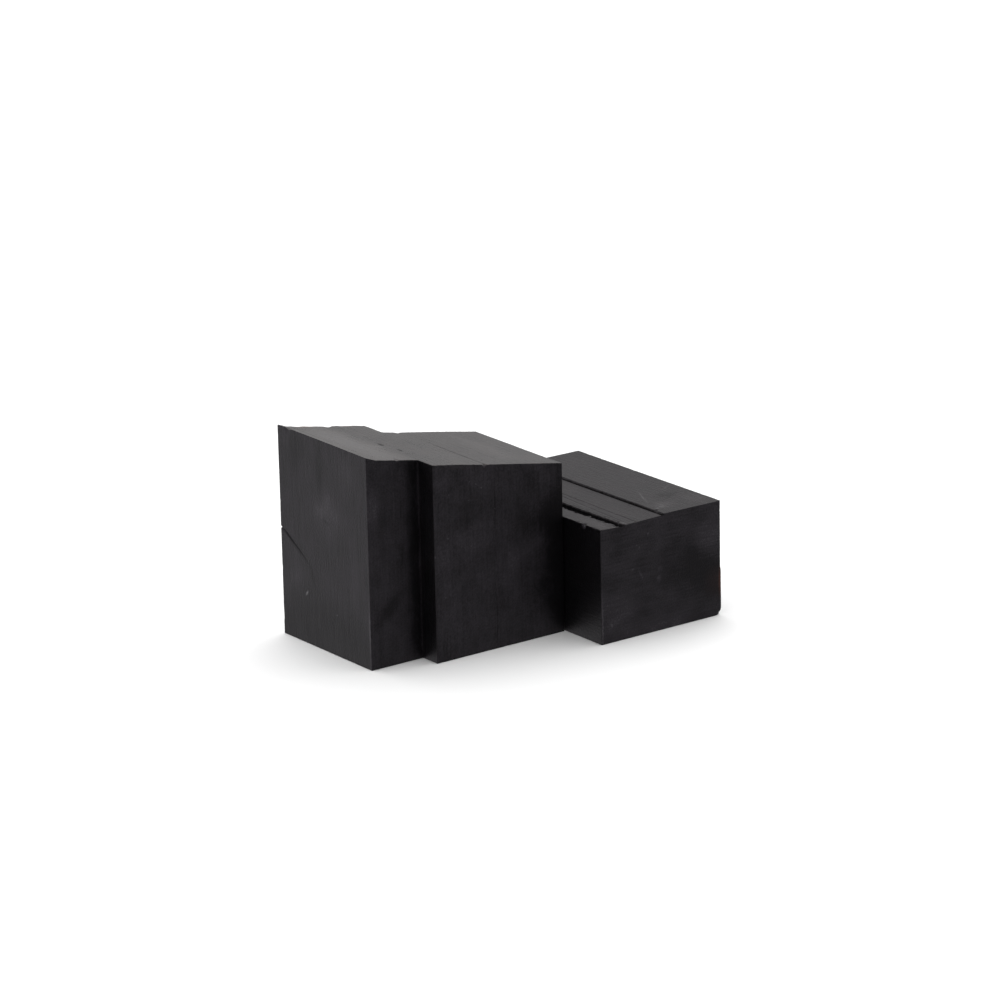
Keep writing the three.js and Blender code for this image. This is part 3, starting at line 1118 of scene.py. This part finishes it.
def floor():
    half = FLOOR_SIZE / 2
    z = cad_low[2] - FLOOR_DROP
    mesh = bpy.data.meshes.new("floor")
    corners = [(-half, -half, z), (half, -half, z), (half, half, z), (-half, half, z)]
    mesh.from_pydata(corners, [], [(0, 1, 2, 3)])
    material = bpy.data.materials.new("pale_table")
    material.use_nodes = True
    shader = material.node_tree.nodes["Principled BSDF"]
    shader.inputs["Base Color"].default_value = FLOOR_COLOUR
    shader.inputs["Roughness"].default_value = 1.0
    shader.inputs["Specular IOR Level"].default_value = 0.0
    mesh.materials.append(material)
    obj = bpy.data.objects.new("floor", mesh)
    bpy.context.collection.objects.link(obj)
    obj.visible_glossy = False


def backdrop():
    """A pale dome that only the camera sees, so that the light comes from the surroundings."""
    mesh = bpy.data.meshes.new("backdrop")
    ball = bmesh.new()
    bmesh.ops.create_uvsphere(ball, u_segments=48, v_segments=24, radius=BACKDROP_RADIUS)
    ball.to_mesh(mesh)
    ball.free()
    material = bpy.data.materials.new("pale_backdrop")
    material.use_nodes = True
    shader = material.node_tree.nodes["Principled BSDF"]
    shader.inputs["Base Color"].default_value = (0, 0, 0, 1)
    shader.inputs["Specular IOR Level"].default_value = 0.0
    shader.inputs["Emission Color"].default_value = (1, 1, 1, 1)
    shader.inputs["Emission Strength"].default_value = 1.0
    mesh.materials.append(material)
    obj = bpy.data.objects.new("backdrop", mesh)
    bpy.context.collection.objects.link(obj)
    for ray in ("diffuse", "glossy", "transmission", "volume_scatter", "shadow"):
        setattr(obj, "visible_" + ray, False)


def surroundings():
    """Even studio surroundings, brighter behind the blocks than in front of them."""
    world = bpy.data.worlds.new("studio")
    world.use_nodes = True
    tree = world.node_tree
    background = tree.nodes["Background"]
    direction = tree.nodes.new("ShaderNodeTexCoord").outputs["Generated"]
    apart = tree.nodes.new("ShaderNodeSeparateXYZ")
    tree.links.new(direction, apart.inputs[0])
    glow = tree.nodes.new("ShaderNodeMapRange")
    for socket, value in (
        ("From Min", -1.0),
        ("From Max", 1.0),
        ("To Min", FRONT_GLOW),
        ("To Max", BACK_GLOW),
    ):
        glow.inputs[socket].default_value = value
    tree.links.new(apart.outputs["Y"], glow.inputs["Value"])
    tree.links.new(glow.outputs["Result"], background.inputs["Color"])
    background.inputs["Strength"].default_value = 1.0
    bpy.context.scene.world = world


def soft_sun():
    light = bpy.data.lights.new("overhead", "SUN")
    light.energy = SUN_STRENGTH
    light.angle = math.radians(SUN_SPREAD)
    obj = bpy.data.objects.new("overhead", light)
    obj.rotation_euler = tuple(math.radians(angle) for angle in SUN_TURN)
    obj.visible_glossy = False
    bpy.context.collection.objects.link(obj)


def camera():
    turn, tilt, roll = (
        math.radians(angle) for angle in (CAMERA_AZIMUTH, CAMERA_ELEVATION, CAMERA_ROLL)
    )
    back = Vector(
        (math.sin(turn) * math.cos(tilt), -math.cos(turn) * math.cos(tilt), math.sin(tilt))
    )
    right = Vector((math.cos(turn), math.sin(turn), 0))
    up = back.cross(right)
    rolled_right = right * math.cos(roll) + up * math.sin(roll)
    rolled_up = up * math.cos(roll) - right * math.sin(roll)
    data = bpy.data.cameras.new("camera")
    data.lens = CAMERA_LENS
    data.sensor_width = 36.0
    data.clip_start, data.clip_end = 0.05, 50.0
    obj = bpy.data.objects.new("camera", data)
    axes = Matrix((rolled_right, rolled_up, back)).transposed()
    place = Vector(CAMERA_AIM) + back * CAMERA_DISTANCE
    obj.matrix_world = Matrix.Translation(place) @ axes.to_4x4()
    bpy.context.collection.objects.link(obj)
    bpy.context.scene.camera = obj


# ---------------------------------------------------------------- the scene

camera()
floor()
backdrop()
surroundings()
soft_sun()
bpy.context.scene.view_settings.view_transform = "Standard"

upright = upright_block()
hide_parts("upright_block")
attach(upright, "upright")

lying = lying_block()
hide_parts("lying_block")
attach(lying, "lying")
